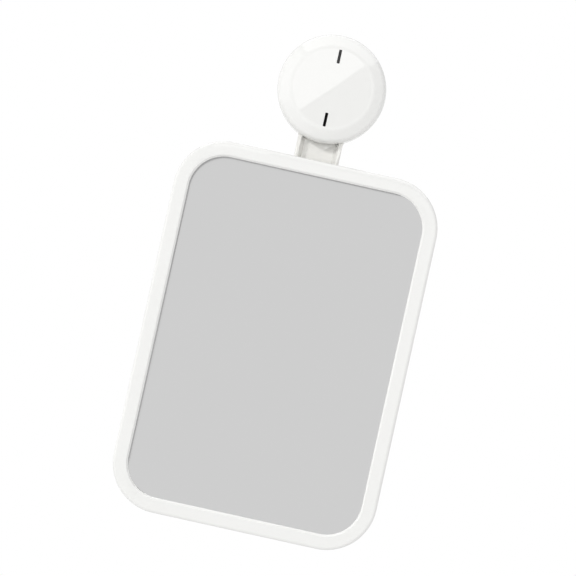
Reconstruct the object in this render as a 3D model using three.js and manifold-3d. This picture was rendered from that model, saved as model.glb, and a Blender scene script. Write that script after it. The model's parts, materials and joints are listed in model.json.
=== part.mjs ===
// A wall mirror that hangs from a suction mount. A round knob turns a cam, the cam draws the middle
// of a soft disc off the wall, and a channel-shaped arm on the mount carries the tilting mirror.
//
// Everything is drawn as it is seen from the front, in millimetres: X to the right, Y up and Z out
// of the wall, from the middle of the disc's wall face. The last group stands that drawing upright,
// so that +Z is up and the wall lies at Y = 0 behind the object.
import * as THREE from 'three';
import { mergeVertices } from 'three/addons/utils/BufferGeometryUtils.js';
import Module from 'manifold-3d';

// Fits
const FACE_GAP = 0.2; // between flat faces that lie on each other
const GAP = 0.3; // round what sits in a pocket, turns or slides
const OVERRUN = 5; // how far a cut runs past what it cuts
const SINK = 0.6; // how far a joined form reaches into its neighbour

// Fineness
const ROUND_STEPS = 60;
const MIDDLE_STEPS = 28;
const SMALL_STEPS = 14;
const CORNER_STEPS = 8;
const ARC_STEPS = 4;
const WELD_SHARE = 1e-6; // of the mirror's height: points closer than this are one
const NEEDLE_SHARE = 4e-6; // of the mirror's height: triangles thinner than this are flipped
const FLIP_PASSES = 6;

// Knob
const KNOB_RADIUS = 39.9;
const KNOB_HEIGHT = 10.4;
const KNOB_WALL = 2.2;
const KNOB_SHOULDER = 6.8; // width of the slope round the flat face
const KNOB_SLOPE_DROP = 2.9;
const KNOB_SKIRT = 4.1; // width of the curved side outside the slope
const KNOB_FACE_ROUND = 0.5;
const KNOB_SKIRT_SHARE = 0.62; // height at which the skirt starts to curve in
const KNOB_CLEARANCE = 1.2; // from the arm's rails
const KNOB_RIBS = 12;
const KNOB_RIB_WALL = 1.4;
const KNOB_RIB_HEIGHT = 3.6;

// Arm and the cup at its upper end
const KNOB_OVERHANG = 0.4; // of the knob past the cup
const ARM_WIDTH = 33.4;
const ARM_SHOWN = 14.4; // of the arm between the cup and the mirror
const ARM_FILLET = 5;
const ARM_DEPTH = 11.5;
const RAIL_WIDTH = 3.5;
const RAIL_HEIGHT = 5;
const FLOOR_HEIGHT = 15; // of the channel's floor from the wall
const FLOOR_WALL = 2.2;
const CUP_WALL = 2.4;
const CUP_LIP_WIDTH = 4.4;
const CUP_LIP_HEIGHT = 2.2;
const CUP_RIBS = 8;
const CUP_RIB_WALL = 1.6;
const CUP_RIB_HEIGHT = 3.2;
const ARM_RIBS = 2;
const ARM_RIB_WALL = 1.8;
const HUB_WALL = 3.7;
const HUB_LENGTH = 4.4;
const COLLAR_WALL = 2;
const COLLAR_HEIGHT = 4;

// Suction disc and its post
const DISC_MARGIN = 1.5; // inside the cup's edge
const DISC_LAND_WIDTH = 5;
const DISC_LAND_HEIGHT = 1.6;
const DISC_BOSS_RADIUS = 12;
const DISC_BOSS_HEIGHT = 5.2;
const DISC_FLOOR = 1.7;
const DISC_SHOULDER_HEIGHT = 2.9;
const POST_FLANGE_RADIUS = 9;
const POST_FLANGE_HEIGHT = 1.6;
const POST_RADIUS = 4.8;
const POST_FLAT = 4.1; // from the axis to each flat
const POST_TIP = 3; // of post past the pin's axis
const POST_LIFT = 3.5;

// Cam
const LOCK_ANGLE = THREE.MathUtils.degToRad(90);
const CAM_BORE_RADIUS = 6.9;
const CAM_TRACK_RADIUS = 12.8;
const CAM_RADIUS = 14.9;
const CAM_BASE_HEIGHT = 2;
const CAM_HEIGHT = 10;
const CAM_FLANGE_RADIUS = 22.5;
const CAM_FLANGE_HEIGHT = 2;
const CAM_STEP = THREE.MathUtils.degToRad(9);
const WASHER_THICKNESS = 0.8;
const PIN_RADIUS = 1.5;
const HOOKS = 3;
const HOOK_ANGLE = THREE.MathUtils.degToRad(24);
const HOOK_WALL = 1.8;
const HOOK_RADIUS = 20; // outer face of a hook's leg
const HOOK_BARB = 1.2;
const HOOK_BARB_HEIGHT = 1.2;
const RING_WALL = 1.5;

// Mirror
const FRAME_WIDTH = 195;
const FRAME_HEIGHT = 275;
const FRAME_CORNER = 37;
const FRAME_DEPTH = 13;
const FRAME_WALL = 2.5;
const FRAME_ROUND = 2.6;
const BEZEL_WIDTH = 10;
const LIP_CHAMFER = 1.6;
const LIP_EDGE = 0.4;
const LIP_DEPTH = 2.9;
const GLASS_INSET = 8.2;
const GLASS_THICKNESS = 3;
const GLASS_RIB_WALL = 1.2;
const PAD_INSET = 10.5;
const PAD_THICKNESS = 1;
const MIRROR_CLEARANCE = 3; // from the arm's rails to the frame's rear edge
const SHELL_WALL = 2;
const SHELL_RIB_WALL = 1.6;
const SHELL_RIB_PITCH = 38;
const SHELL_RING_INSET = 12;

// Screws
const SCREW_RADIUS = 1.1;
const SCREW_HEAD_RADIUS = 2;
const SCREW_HEAD_HEIGHT = 1.2;
const SCREW_LENGTH = 8.8;
const BRACKET_SCREW_LENGTH = 7.8;
const SCREW_FIT = 0.1;
const BOSS_RADIUS = 2.3;
const BOSS_INSET = 5.6;
const SIDE_SCREW_OFFSET = 60;
const END_SCREW_OFFSET = 45;
const BRACKET_BOSS_RADIUS = 3;

// Tilting hinge
const HINGE_DROP = 20; // down from the frame's upper edge to the bolt
const HINGE_SET = 5; // from the rails' front back to the bolt
const TILT_OUT = THREE.MathUtils.degToRad(20);
const EAR_RADIUS = 6.5;
const BOLT_RADIUS = 2.5;
const BOLT_HEAD_RADIUS = 4.5;
const BOLT_HEAD_HEIGHT = 2.8;
const BOLT_FIT = 0.2;
const BOLT_END = 1; // of bolt past the nut
const NUT_RADIUS = 4.6;
const NUT_HEIGHT = 4;
const SPRING_RADIUS = 5;
const SPRING_WALL = 0.5;
const SPRING_DISH = 0.4;
const HINGE_WASHER_THICKNESS = 0.8;
const KNUCKLE_RADIUS = 6;
const FOOT_WIDTH = 44;
const FOOT_HEIGHT = 34;
const FOOT_DROP = 9; // down from the bolt to the foot's upper edge
const FOOT_WALL = 3;
const FOOT_CORNER = 5;
const FOOT_SCREW_X = 16;
const FOOT_SCREW_MARGIN = 6;
const GUSSET_WALL = 3;
const RELIEF_MARGIN = 2; // beside the arm, when the frame's top leans back over it
const RELIEF_CLEARANCE = 0.5;

// Worked out from the sizes above
const breakRadius = KNOB_RADIUS - KNOB_SKIRT;
const faceRadius = breakRadius - KNOB_SHOULDER;
const plateRadius = KNOB_RADIUS - KNOB_OVERHANG;
const discRadius = plateRadius - DISC_MARGIN;
const knobToMirror = plateRadius + ARM_SHOWN + FRAME_HEIGHT / 2;
const railTop = FLOOR_HEIGHT + RAIL_HEIGHT;
const railBack = railTop - ARM_DEPTH;
const floorBack = FLOOR_HEIGHT - FLOOR_WALL;
const knobRear = railTop + KNOB_CLEARANCE;
const camRear = FLOOR_HEIGHT + WASHER_THICKNESS + FACE_GAP;
const camTrack = camRear + CAM_BASE_HEIGHT;
const camFront = camRear + CAM_HEIGHT;
const pinHeight = camTrack + GAP + PIN_RADIUS;
const hubBore = POST_RADIUS + GAP;
const armHalf = ARM_WIDTH / 2;
const channelHalf = armHalf - RAIL_WIDTH;
const mirrorHeight = railTop + MIRROR_CLEARANCE;
const hingeHeight = railTop - HINGE_SET;
const hingeY = FRAME_HEIGHT / 2 - knobToMirror - HINGE_DROP;
const hingeInMirror = new THREE.Vector3(0, FRAME_HEIGHT / 2 - HINGE_DROP, hingeHeight - mirrorHeight);
const knuckleHalf = channelHalf - HINGE_WASHER_THICKNESS - FACE_GAP * 2;
const lipBack = FRAME_DEPTH - LIP_DEPTH;
const glassBack = lipBack - FACE_GAP - GLASS_THICKNESS;
const padBack = glassBack - FACE_GAP - PAD_THICKNESS;
const shellRibTop = padBack - FACE_GAP;
const shellInset = FRAME_WALL + GAP;

const wasm = await Module();
wasm.setup();

const WHITE_PLASTIC = { color: 0xf4f4f2, roughness: 0.28, metalness: 0 };
const INNER_PLASTIC = { color: 0xe9e8e4, roughness: 0.45, metalness: 0 };
const STEEL = { color: 0xb9bbbd, roughness: 0.3, metalness: 1 };

// Points of one geometry welded, with the triangles that closed up in the weld left out. Turning
// leaves traces such as 1e-15 where a point lies on an axis plane, which are set to zero first.
function welded(geometry) {
  const bare = geometry.clone();
  const values = bare.attributes.position.array;
  values.forEach((value, i) => {
    if (Math.abs(value) < WELD_SHARE * FRAME_HEIGHT) values[i] = 0;
  });
  for (const name of Object.keys(bare.attributes)) {
    if (name !== 'position') bare.deleteAttribute(name);
  }
  const merged = mergeVertices(bare, WELD_SHARE * FRAME_HEIGHT);
  const kept = [];
  const index = merged.index.array;
  for (let i = 0; i < index.length; i += 3) {
    const [a, b, c] = [index[i], index[i + 1], index[i + 2]];
    if (a !== b && b !== c && c !== a) kept.push(a, b, c);
  }
  merged.setIndex(kept);
  return merged;
}

// Booleans leave needles, whose three corners lie on one line. Each is flipped into its neighbour
// where that leaves the two of them wider.
function withoutNeedles(geometry) {
  const index = Array.from(geometry.index.array);
  const corner = (i) => new THREE.Vector3().fromBufferAttribute(geometry.attributes.position, i);
  const lengthsOf = (t) => t.map((a, k) => corner(a).distanceTo(corner(t[(k + 1) % 3])));
  const widthOf = (t) => new THREE.Triangle(...t.map(corner)).getArea() * 2 / Math.max(...lengthsOf(t));
  const triangles = repeated(index.length / 3, (i) => index.slice(i * 3, i * 3 + 3));
  for (let pass = 0; pass < FLIP_PASSES; pass++) {
    const owners = new Map();
    triangles.forEach((t, i) => t.forEach((a, k) => owners.set(`${a},${t[(k + 1) % 3]}`, i)));
    const touched = new Set();
    triangles.forEach((t, i) => {
      const width = widthOf(t);
      if (width > NEEDLE_SHARE * FRAME_HEIGHT) return;
      const lengths = lengthsOf(t);
      const k = lengths.indexOf(Math.max(...lengths));
      const [a, c, b] = [t[k], t[(k + 1) % 3], t[(k + 2) % 3]];
      const j = owners.get(`${c},${a}`);
      if (j === undefined || touched.has(i) || touched.has(j)) return;
      const d = triangles[j].find((vertex) => vertex !== a && vertex !== c);
      if (d === b || owners.has(`${b},${d}`) || owners.has(`${d},${b}`)) return;
      const flipped = [[b, a, d], [d, c, b]];
      if (Math.min(...flipped.map(widthOf)) <= width) return;
      [triangles[i], triangles[j]] = flipped;
      touched.add(i).add(j);
    });
    if (touched.size === 0) break;
  }
  geometry.setIndex(triangles.flat());
  return geometry;
}

function solid(geometry) {
  const merged = welded(geometry);
  return new wasm.Manifold(new wasm.Mesh({
    numProp: 3,
    vertProperties: new Float32Array(merged.attributes.position.array),
    triVerts: new Uint32Array(merged.index.array),
  }));
}

function geometryOf(body) {
  const mesh = body.getMesh();
  const geometry = new THREE.BufferGeometry();
  geometry.setAttribute('position', new THREE.BufferAttribute(new Float32Array(mesh.vertProperties), 3));
  geometry.setIndex(new THREE.BufferAttribute(new Uint32Array(mesh.triVerts), 1));
  return geometry;
}

// The first geometry with the joined ones added and the cut ones taken away.
function built(base, joined = [], cut = []) {
  let body = solid(base);
  for (const geometry of joined) body = body.add(solid(geometry));
  for (const geometry of cut) body = body.subtract(solid(geometry));
  return geometryOf(body);
}

function overlapOf(first, second) {
  return geometryOf(solid(first).intersect(solid(second)));
}

// A profile of [radius, height] points turned about Z, with its outer side drawn upwards.
function turned(profile, steps = ROUND_STEPS) {
  const points = profile.map(([radius, height]) => new THREE.Vector2(radius, height));
  return new THREE.LatheGeometry(points, steps).rotateX(Math.PI / 2);
}

function ring(inner, outer, low, high, steps = ROUND_STEPS) {
  return turned([[inner, low], [outer, low], [outer, high], [inner, high], [inner, low]], steps);
}

function rod(radius, low, high, steps = SMALL_STEPS) {
  return turned([[0, low], [radius, low], [radius, high], [0, high]], steps);
}

// A turned piece laid along X, its heights counted to the right.
function alongX(geometry) {
  return geometry.rotateY(Math.PI / 2);
}

// An outline in the front view, from one height off the wall to another.
function extruded(shape, low, high, steps = CORNER_STEPS) {
  const settings = { depth: high - low, bevelEnabled: false, curveSegments: steps };
  return new THREE.ExtrudeGeometry(shape, settings).translate(0, 0, low);
}

// An outline in the side view, [up, out of the wall], from one X to another.
function across(shape, left, right, steps = CORNER_STEPS) {
  const up = new THREE.Vector3(0, 1, 0);
  const out = new THREE.Vector3(0, 0, 1);
  const side = new THREE.Vector3(1, 0, 0);
  return extruded(shape, left, right, steps).applyMatrix4(new THREE.Matrix4().makeBasis(up, out, side));
}

function block(left, right, bottom, top, low, high) {
  const box = new THREE.BoxGeometry(right - left, top - bottom, high - low);
  return box.translate((left + right) / 2, (bottom + top) / 2, (low + high) / 2);
}

function roundedRectangle(width, height, corner) {
  const x = width / 2 - corner;
  const y = height / 2 - corner;
  const shape = new THREE.Shape();
  shape.absarc(x, y, corner, 0, Math.PI / 2);
  shape.absarc(-x, y, corner, Math.PI / 2, Math.PI);
  shape.absarc(-x, -y, corner, Math.PI, Math.PI * 1.5);
  shape.absarc(x, -y, corner, Math.PI * 1.5, Math.PI * 2);
  return shape;
}

// The frame's outline drawn in by an inset.
function frameOutline(inset) {
  return roundedRectangle(FRAME_WIDTH - inset * 2, FRAME_HEIGHT - inset * 2, FRAME_CORNER - inset);
}

// Rings of points joined into one skin, each next ring a step anticlockwise about Z.
function skinned(rings, closed) {
  const count = rings[0].length;
  const index = [];
  const spans = closed ? rings.length : rings.length - 1;
  for (let i = 0; i < spans; i++) {
    const here = i * count;
    const next = ((i + 1) % rings.length) * count;
    for (let j = 0; j < count; j++) {
      const k = (j + 1) % count;
      index.push(here + j, next + j, next + k, here + j, next + k, here + k);
    }
  }
  if (!closed) {
    const last = (rings.length - 1) * count;
    for (let j = 2; j < count; j++) index.push(0, j - 1, j, last, last + j, last + j - 1);
  }
  const geometry = new THREE.BufferGeometry().setFromPoints(rings.flat());
  geometry.setIndex(index);
  return geometry;
}

// A profile of [inset, height] points carried round the frame's outline.
function carriedRound(profile) {
  const rings = [];
  const x = FRAME_WIDTH / 2 - FRAME_CORNER;
  const y = FRAME_HEIGHT / 2 - FRAME_CORNER;
  const centres = [[x, y], [-x, y], [-x, -y], [x, -y]];
  centres.forEach(([cx, cy], corner) => {
    for (let i = 0; i <= CORNER_STEPS; i++) {
      const angle = (corner + i / CORNER_STEPS) * Math.PI / 2;
      rings.push(profile.map(([inset, height]) => {
        const radius = FRAME_CORNER - inset;
        return new THREE.Vector3(cx + radius * Math.cos(angle), cy + radius * Math.sin(angle), height);
      }));
    }
  });
  return skinned(rings, true);
}

// Part of a ring between two angles, whose top may follow the angle.
function sector(inner, outer, from, to, low, topAt) {
  const steps = Math.max(1, Math.round((to - from) / CAM_STEP));
  const rings = [];
  for (let i = 0; i <= steps; i++) {
    const angle = from + (to - from) * i / steps;
    const point = (radius, height) => new THREE.Vector3(radius, 0, height)
      .applyAxisAngle(new THREE.Vector3(0, 0, 1), angle);
    const top = topAt(angle);
    rings.push([point(inner, low), point(outer, low), point(outer, top), point(inner, top)]);
  }
  return skinned(rings, false);
}

// Points of a rounded edge about a centre, both ends included.
function arc(x, y, radius, from, to, steps = ARC_STEPS) {
  const points = [];
  for (let i = 0; i <= steps; i++) {
    const angle = from + (to - from) * i / steps;
    points.push([x + radius * Math.cos(angle), y + radius * Math.sin(angle)]);
  }
  return points;
}

// The shank's section: a round with a flat on its left and right.
function flattedRound(radius, flat) {
  const angle = Math.acos(flat / radius);
  const shape = new THREE.Shape();
  shape.absarc(0, 0, radius, angle, Math.PI - angle);
  shape.absarc(0, 0, radius, Math.PI + angle, Math.PI * 2 - angle);
  return shape;
}

function repeated(count, make) {
  return Array.from({ length: count }, (_, i) => make(i));
}

function mesh(name, geometry, finish) {
  const piece = new THREE.Mesh(withoutNeedles(welded(geometry)), new THREE.MeshStandardMaterial(finish));
  piece.geometry.computeVertexNormals();
  piece.name = name;
  return piece;
}

// Suction disc: flat on the wall, with a boss moulded round the post's flange.
function suctionDisc() {
  const pocketRadius = POST_FLANGE_RADIUS + GAP;
  const pocketTop = DISC_FLOOR + GAP + POST_FLANGE_HEIGHT + GAP;
  return mesh('suction_disc', turned([
    [0, 0],
    [discRadius, 0],
    [discRadius, DISC_LAND_HEIGHT],
    [discRadius - DISC_LAND_WIDTH, DISC_LAND_HEIGHT],
    [DISC_BOSS_RADIUS + GAP, DISC_SHOULDER_HEIGHT],
    [DISC_BOSS_RADIUS, DISC_BOSS_HEIGHT],
    [hubBore, DISC_BOSS_HEIGHT],
    [hubBore, pocketTop],
    [pocketRadius, pocketTop],
    [pocketRadius, DISC_FLOOR],
    [0, DISC_FLOOR],
  ], MIDDLE_STEPS), { color: 0xdfe3e4, roughness: 0.35, metalness: 0 });
}

function discPost() {
  const flangeBack = DISC_FLOOR + GAP;
  const flangeFront = flangeBack + POST_FLANGE_HEIGHT;
  const shank = extruded(flattedRound(POST_RADIUS, POST_FLAT), flangeFront - SINK, pinHeight + POST_TIP);
  const hole = alongX(rod(PIN_RADIUS + SCREW_FIT, -POST_RADIUS - OVERRUN, POST_RADIUS + OVERRUN));
  const flange = rod(POST_FLANGE_RADIUS, flangeBack, flangeFront, MIDDLE_STEPS);
  return mesh('disc_post', built(flange, [shank], [hole.translate(0, 0, pinHeight)]), INNER_PLASTIC);
}

function crossPin() {
  const half = CAM_TRACK_RADIUS - GAP * 2;
  return mesh('cross_pin', alongX(rod(PIN_RADIUS, -half, half)).translate(0, 0, pinHeight), STEEL);
}

// The arm's outline in the front view, with a fillet on each side where it leaves the round plate.
function neckOutline(plate, half, fillet, bottom) {
  const x = half + fillet;
  const touched = plate * Math.cos(Math.PI * 2 / ROUND_STEPS); // just inside the plate's facets
  const y = -Math.sqrt((touched + fillet) ** 2 - x ** 2);
  const angle = Math.atan2(y, x);
  const shape = new THREE.Shape();
  shape.moveTo(half, bottom);
  shape.lineTo(half, y);
  shape.absarc(x, y, fillet, Math.PI, Math.PI + angle, true);
  shape.lineTo(half, y + fillet);
  shape.lineTo(-half, y + fillet);
  shape.absarc(-x, y, fillet, -angle, 0, true);
  shape.lineTo(-half, bottom);
  return shape;
}

// The round plate and the arm below it, as one flat form between two heights.
function plateAndNeck(inset, bottom, low, high) {
  const neck = neckOutline(plateRadius - inset, armHalf - inset, ARM_FILLET + inset, bottom);
  return built(rod(plateRadius - inset, low, high, ROUND_STEPS), [extruded(neck, low, high, ARC_STEPS)]);
}

// One side of the channel in the side view, ending in the ear round the bolt.
function cheekOutline(top) {
  const shape = new THREE.Shape();
  shape.moveTo(top, railBack);
  shape.lineTo(hingeY, railBack);
  shape.absarc(hingeY, hingeHeight, EAR_RADIUS, -Math.PI / 2,
    Math.asin((railTop - hingeHeight) / EAR_RADIUS), true);
  shape.lineTo(top, railTop);
  return shape;
}

function armHousing() {
  const floorEnd = hingeY + EAR_RADIUS + RAIL_WIDTH;
  const cheekTop = -plateRadius - FLOOR_WALL;
  const hubRadius = hubBore + HUB_WALL;
  const cupInner = plateRadius - CUP_WALL;
  const cupBack = DISC_LAND_HEIGHT + FACE_GAP;
  const hubBack = floorBack - HUB_LENGTH;
  const floor = plateAndNeck(0, floorEnd, floorBack, FLOOR_HEIGHT);
  const border = built(plateAndNeck(0, floorEnd, railBack, railTop), [],
    [plateAndNeck(RAIL_WIDTH, floorEnd - OVERRUN, railBack - OVERRUN, railTop + OVERRUN)]);
  const cheek = cheekOutline(cheekTop);
  const cheeks = [across(cheek, channelHalf, armHalf), across(cheek, -armHalf, -channelHalf)];
  const cup = turned([
    [plateRadius - CUP_LIP_WIDTH, cupBack],
    [plateRadius, cupBack],
    [plateRadius, FLOOR_HEIGHT],
    [cupInner, FLOOR_HEIGHT],
    [cupInner, cupBack + CUP_LIP_HEIGHT],
    [plateRadius - CUP_LIP_WIDTH, cupBack + CUP_LIP_HEIGHT],
    [plateRadius - CUP_LIP_WIDTH, cupBack],
  ]);
  const hub = rod(hubRadius, hubBack, FLOOR_HEIGHT - SINK, MIDDLE_STEPS);
  const collarInner = CAM_RADIUS + GAP;
  const collar = ring(collarInner, collarInner + COLLAR_WALL, floorBack + SINK, FLOOR_HEIGHT + COLLAR_HEIGHT,
    MIDDLE_STEPS);
  const spokePitch = Math.PI * 2 / CUP_RIBS;
  const spokes = repeated(CUP_RIBS, (i) => block(hubRadius - SINK, cupInner + SINK, -CUP_RIB_WALL / 2,
    CUP_RIB_WALL / 2, floorBack - CUP_RIB_HEIGHT, floorBack + SINK).rotateZ(spokePitch * (i + 0.5)));
  const webPitch = (cheekTop - floorEnd) / ARM_RIBS;
  const webs = repeated(ARM_RIBS, (i) => {
    const y = floorEnd + ARM_RIB_WALL + i * webPitch;
    return block(-channelHalf - SINK, channelHalf + SINK, y - ARM_RIB_WALL / 2, y + ARM_RIB_WALL / 2,
      railBack, floorBack + SINK);
  });
  const bore = extruded(flattedRound(hubBore, POST_FLAT + GAP), hubBack - OVERRUN, FLOOR_HEIGHT + OVERRUN);
  const boltHole = alongX(rod(BOLT_RADIUS + BOLT_FIT, -armHalf - OVERRUN, armHalf + OVERRUN))
    .translate(0, hingeY, hingeHeight);
  const joined = [border, ...cheeks, cup, hub, collar, ...spokes, ...webs];
  return mesh('arm_housing', built(floor, joined, [bore, boltHole]), WHITE_PLASTIC);
}

function camWasher() {
  const low = FLOOR_HEIGHT + FACE_GAP / 2;
  return mesh('cam_washer', ring(CAM_BORE_RADIUS, CAM_RADIUS - GAP, low, low + WASHER_THICKNESS,
    MIDDLE_STEPS),
    { color: 0x6f7478, roughness: 0.5, metalness: 0 });
}

// Cam ring: two helical ramps that lift the cross pin, with a stop past each end of them.
function camRing() {
  const flangeLow = camFront - CAM_FLANGE_HEIGHT;
  const body = turned([
    [CAM_BORE_RADIUS, camRear],
    [CAM_RADIUS, camRear],
    [CAM_RADIUS, flangeLow],
    [CAM_FLANGE_RADIUS, flangeLow],
    [CAM_FLANGE_RADIUS, camFront],
    [CAM_TRACK_RADIUS, camFront],
    [CAM_TRACK_RADIUS, camTrack],
    [CAM_BORE_RADIUS, camTrack],
    [CAM_BORE_RADIUS, camRear],
  ], MIDDLE_STEPS);
  const dwell = Math.asin((PIN_RADIUS + GAP) / CAM_BORE_RADIUS);
  const rise = (angle) => camTrack + POST_LIFT * THREE.MathUtils.clamp(angle / LOCK_ANGLE, 0, 1);
  const stopTop = pinHeight + POST_LIFT;
  const ramps = [];
  for (const turn of [0, Math.PI]) {
    const ramp = built(
      sector(CAM_BORE_RADIUS, CAM_TRACK_RADIUS + SINK, 0, LOCK_ANGLE, camTrack - SINK, rise),
      [
        sector(CAM_BORE_RADIUS, CAM_TRACK_RADIUS + SINK, LOCK_ANGLE - CAM_STEP, LOCK_ANGLE + dwell,
          camTrack - SINK, rise),
        sector(CAM_BORE_RADIUS, CAM_TRACK_RADIUS + SINK, LOCK_ANGLE + dwell, Math.PI - dwell,
          camTrack - SINK, () => stopTop),
      ]);
    ramps.push(ramp.rotateZ(turn));
  }
  const slots = repeated(HOOKS, (i) => sector(HOOK_RADIUS - HOOK_WALL - GAP, HOOK_RADIUS + GAP,
    -HOOK_ANGLE / 2 - GAP / HOOK_RADIUS, HOOK_ANGLE / 2 + GAP / HOOK_RADIUS, flangeLow - OVERRUN,
    () => camFront + OVERRUN).rotateZ(Math.PI / 2 + i * Math.PI * 2 / HOOKS));
  return mesh('cam_ring', built(body, ramps, slots), INNER_PLASTIC);
}

// Points down the knob's outside: face edge, sloping shoulder, break and curved skirt.
function knobOutside(wall) {
  const face = KNOB_HEIGHT - wall;
  const breakHeight = KNOB_HEIGHT - KNOB_SLOPE_DROP - wall;
  const skirt = new THREE.QuadraticBezierCurve(
    new THREE.Vector2(KNOB_RADIUS - wall, 0),
    new THREE.Vector2(KNOB_RADIUS - wall, KNOB_HEIGHT * KNOB_SKIRT_SHARE - wall),
    new THREE.Vector2(breakRadius - wall, breakHeight),
  ).getPoints(ARC_STEPS).map((point) => [point.x, point.y]);
  return [
    ...skirt,
    [faceRadius, face - KNOB_FACE_ROUND],
    [faceRadius - KNOB_FACE_ROUND, face],
  ];
}

function knobCover() {
  const shell = turned([
    [0, KNOB_HEIGHT - KNOB_WALL],
    ...knobOutside(KNOB_WALL).reverse(),
    ...knobOutside(0),
    [0, KNOB_HEIGHT],
  ]);
  const ceiling = KNOB_HEIGHT - KNOB_WALL + SINK;
  const flangeFront = camFront - knobRear + FACE_GAP;
  const barbTop = camFront - CAM_FLANGE_HEIGHT - knobRear - FACE_GAP;
  const seat = ring(CAM_RADIUS, CAM_RADIUS + RING_WALL, flangeFront, ceiling, MIDDLE_STEPS);
  const ribs = repeated(KNOB_RIBS, (i) => block(CAM_FLANGE_RADIUS, faceRadius + RING_WALL,
    -KNOB_RIB_WALL / 2, KNOB_RIB_WALL / 2, ceiling - KNOB_RIB_HEIGHT, ceiling)
    .rotateZ(i * Math.PI * 2 / KNOB_RIBS));
  const hooks = repeated(HOOKS, (i) => {
    const leg = sector(HOOK_RADIUS - HOOK_WALL, HOOK_RADIUS, -HOOK_ANGLE / 2, HOOK_ANGLE / 2,
      barbTop - HOOK_BARB_HEIGHT, () => ceiling);
    const barb = sector(HOOK_RADIUS - HOOK_WALL, HOOK_RADIUS + HOOK_BARB, -HOOK_ANGLE / 2, HOOK_ANGLE / 2,
      barbTop - HOOK_BARB_HEIGHT, () => barbTop);
    return built(leg, [barb]).rotateZ(Math.PI / 2 + i * Math.PI * 2 / HOOKS);
  });
  return mesh('knob_cover', built(shell, [seat, ...ribs, ...hooks]), WHITE_PLASTIC);
}

// What the arm sweeps out of the mirror's back when the mirror tilts, widened by a wall.
function armRelief(wall) {
  const half = armHalf + RELIEF_MARGIN + wall;
  const front = railTop - hingeHeight + RELIEF_CLEARANCE + wall;
  return block(-half, half, 0, HINGE_DROP + OVERRUN, -hingeHeight - OVERRUN, front)
    .rotateX(TILT_OUT).translate(...hingeInMirror);
}

function framePlaces() {
  const side = FRAME_WIDTH / 2 - BOSS_INSET;
  const end = FRAME_HEIGHT / 2 - BOSS_INSET;
  const places = [];
  for (const x of [-1, 1]) {
    for (const y of [-1, 1]) {
      places.push([x * side, y * SIDE_SCREW_OFFSET], [x * END_SCREW_OFFSET, y * end]);
    }
  }
  return places;
}

function bracketPlaces() {
  const top = hingeInMirror.y - FOOT_DROP - FOOT_SCREW_MARGIN;
  const bottom = hingeInMirror.y - FOOT_DROP - FOOT_HEIGHT + FOOT_SCREW_MARGIN;
  return [[-FOOT_SCREW_X, top], [FOOT_SCREW_X, top], [-FOOT_SCREW_X, bottom], [FOOT_SCREW_X, bottom]];
}

// A countersunk screw with its head's face at height 0, or the hole that it needs.
function screwForm(fit, length, behind = 0) {
  const profile = [
    [0, -behind],
    [SCREW_HEAD_RADIUS + fit, -behind],
    [SCREW_HEAD_RADIUS + fit, 0],
    [SCREW_RADIUS + fit, SCREW_HEAD_HEIGHT],
    [SCREW_RADIUS + fit, length],
    [0, length],
  ];
  return turned(behind > 0 ? profile : profile.slice(1), SMALL_STEPS);
}

function screw(name, x, y, z, length) {
  const profile = [
    [0, 0],
    [SCREW_HEAD_RADIUS, 0],
    [SCREW_RADIUS, SCREW_HEAD_HEIGHT],
    [SCREW_RADIUS, length - SCREW_RADIUS],
    [0, length],
  ];
  const piece = mesh(name, turned(profile, SMALL_STEPS), STEEL);
  piece.position.set(x, y, z);
  return piece;
}

function mirrorFrame() {
  const ribOuter = GLASS_INSET - GAP - GLASS_RIB_WALL;
  const profile = [
    [0, 0],
    ...arc(FRAME_ROUND, FRAME_DEPTH - FRAME_ROUND, FRAME_ROUND, Math.PI, Math.PI / 2),
    [BEZEL_WIDTH, FRAME_DEPTH],
    [BEZEL_WIDTH + LIP_CHAMFER, lipBack + LIP_EDGE],
    [BEZEL_WIDTH + LIP_CHAMFER, lipBack],
    [GLASS_INSET - GAP, lipBack],
    [GLASS_INSET - GAP, glassBack],
    [ribOuter, glassBack],
    [ribOuter, lipBack],
    [FRAME_WALL, lipBack],
    [FRAME_WALL, 0],
  ];
  const bossBack = SHELL_WALL + GAP;
  const bosses = framePlaces().map(([x, y]) => rod(BOSS_RADIUS, bossBack, lipBack + SINK).translate(x, y, 0));
  const holes = framePlaces().map(([x, y]) => rod(SCREW_RADIUS + SCREW_FIT, bossBack - OVERRUN,
    SCREW_LENGTH + GAP).translate(x, y, 0));
  return mesh('mirror_frame', built(carriedRound(profile), bosses, [...holes, armRelief(0)]), WHITE_PLASTIC);
}

function mirrorGlass() {
  return mesh('mirror_glass', extruded(frameOutline(GLASS_INSET), glassBack, glassBack + GLASS_THICKNESS),
    { color: 0xcfd1d2, roughness: 0.03, metalness: 1 });
}

function backingPad() {
  return mesh('backing_pad', extruded(frameOutline(PAD_INSET), padBack, padBack + PAD_THICKNESS),
    { color: 0x55585a, roughness: 0.95, metalness: 0 });
}

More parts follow.
